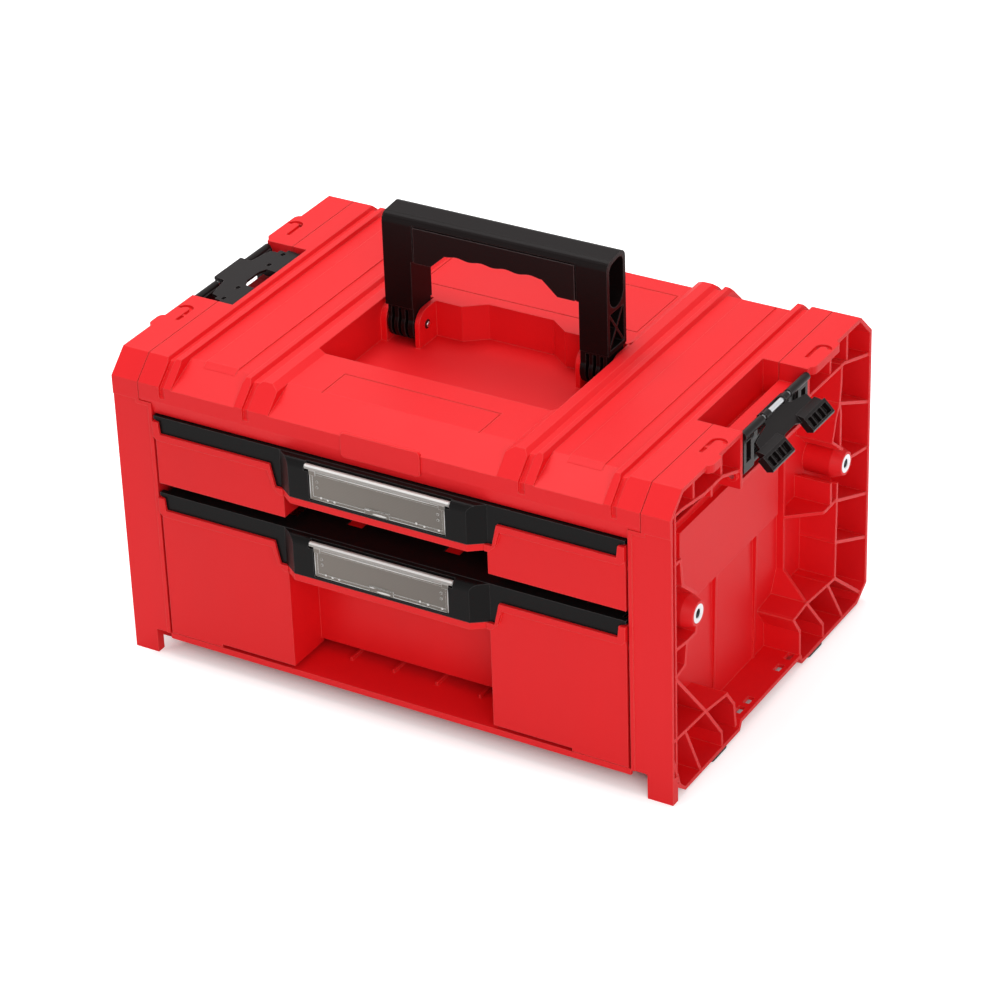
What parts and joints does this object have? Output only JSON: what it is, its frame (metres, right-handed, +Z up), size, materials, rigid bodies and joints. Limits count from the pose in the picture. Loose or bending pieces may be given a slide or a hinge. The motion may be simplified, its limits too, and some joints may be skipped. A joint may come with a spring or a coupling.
{
  "type": "tool box with drawers",
  "caption": "Portable tool box with wide pull-out drawers, a folding top handle, flip-over side latches and ribbed, chamfered side frames.",
  "frame": {"origin": "middle of the bounding box in X and Y, on the surface that the box stands on", "axes": "+X to the right as seen from the drawer side, -Y is the drawer side, +Z up"},
  "size_m": [0.476, 0.3186, 0.3179],
  "materials": {
    "red_plastic": "satin moulded plastic with a fine grain",
    "black_plastic": "satin moulded plastic",
    "soft_grip": "soft moulded grip",
    "rubber": "plain rubber",
    "steel": "drawn steel",
    "clear_plastic": "clear moulded plastic"
  },
  "bodies": {
    "case": {"left_side_frame": "red_plastic", "right_side_frame": "red_plastic", "top_cover": "red_plastic", "badge_plate": "red_plastic", "base_floor": "red_plastic", "back_panel": "red_plastic", "left_sleeves": "steel", "right_sleeves": "steel", "rubber_feet": "rubber", "base_screws": "steel", "cover_screws": "steel", "left_handle_pin": "steel", "right_handle_pin": "steel", "left_link_pins": "steel", "right_link_pins": "steel"},
    "handle": {"handle_shell": "black_plastic", "handle_grip": "soft_grip"},
    "left_link": {"left_latch_link": "black_plastic", "left_latch_rod": "steel"},
    "right_link": {"right_latch_link": "black_plastic", "right_latch_rod": "steel"},
    "left_plate": {"left_latch_plate": "black_plastic"},
    "right_plate": {"right_latch_plate": "black_plastic"},
    "upper_drawer": {"upper_drawer_tray": "red_plastic", "upper_drawer_pull": "black_plastic"},
    "lower_drawer": {"lower_drawer_tray": "red_plastic", "lower_drawer_pull": "black_plastic"},
    "upper_window": {"upper_label_window": "clear_plastic"},
    "lower_window": {"lower_label_window": "clear_plastic"}
  },
  "joints": [
    {"name": "handle_fold", "type": "hinge", "parent": "case", "child": "handle", "pos_m": [-0.00937, 0.01975, 0.2274], "axis": [1, 0, 0], "range_deg": [0, 90]},
    {"name": "upper_drawer_slide", "type": "slide", "parent": "case", "child": "upper_drawer", "axis": [0, -1, 0], "range_m": [0, 0.25]},
    {"name": "lower_drawer_slide", "type": "slide", "parent": "case", "child": "lower_drawer", "axis": [0, -1, 0], "range_m": [0, 0.25]},
    {"name": "upper_window_flip", "type": "hinge", "parent": "upper_drawer", "child": "upper_window", "pos_m": [-0.00937, -0.15725, 0.2003], "axis": [-1, 0, 0], "range_deg": [0, 95]},
    {"name": "lower_window_flip", "type": "hinge", "parent": "lower_drawer", "child": "lower_window", "pos_m": [-0.00937, -0.15725, 0.1373], "axis": [-1, 0, 0], "range_deg": [0, 95]},
    {"name": "right_link_tilt", "type": "hinge", "parent": "case", "child": "right_link", "pos_m": [0.20963, 0.00435, 0.21], "axis": [0, 1, 0], "range_deg": [0, 25]},
    {"name": "left_link_tilt", "type": "hinge", "parent": "case", "child": "left_link", "pos_m": [-0.22837, 0.00435, 0.21], "axis": [0, -1, 0], "range_deg": [0, 25]},
    {"name": "right_plate_flip", "type": "hinge", "parent": "right_link", "child": "right_plate", "pos_m": [0.21513, 0.00435, 0.239], "axis": [0, -1, 0], "range_deg": [0, 231]},
    {"name": "left_plate_flip", "type": "hinge", "parent": "left_link", "child": "left_plate", "pos_m": [-0.23387, 0.00435, 0.239], "axis": [0, -1, 0], "range_deg": [0, 231]}
  ]
}
